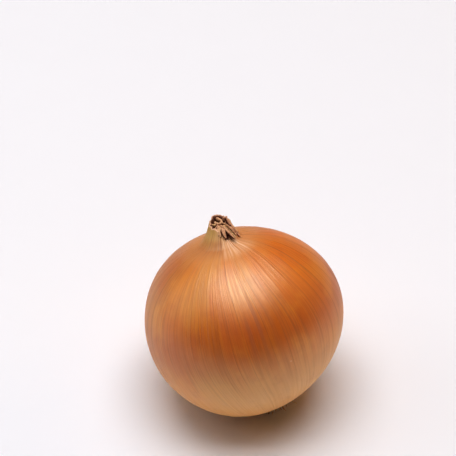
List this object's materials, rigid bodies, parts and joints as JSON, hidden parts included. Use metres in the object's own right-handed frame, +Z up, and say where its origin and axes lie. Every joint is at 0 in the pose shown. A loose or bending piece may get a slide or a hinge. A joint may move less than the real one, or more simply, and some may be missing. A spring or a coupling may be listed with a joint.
{
  "type": "onion",
  "caption": "Whole yellow onion: a skinned globe bulb that rests on a small flat spot, with a dry folded neck and a short tuft of dry roots.",
  "frame": {"origin": "centre of the small flat spot that the onion rests on", "axes": "+Z up; +X to the viewer's right; +Y away from the viewer. The neck leans up, back and to the left, the roots point down, forward and to the right"},
  "size_m": [0.0797, 0.0795, 0.0811],
  "materials": {
    "skin": "satin golden brown papery skin with fine darker veins",
    "dry_leaf": "matt straw-coloured dry leaf, brown in its folds",
    "root": "matt dry pale brown root"
  },
  "bodies": {
    "root": {"bulb": "skin", "neck": "dry_leaf", "roots": "root"}
  },
  "joints": []
}
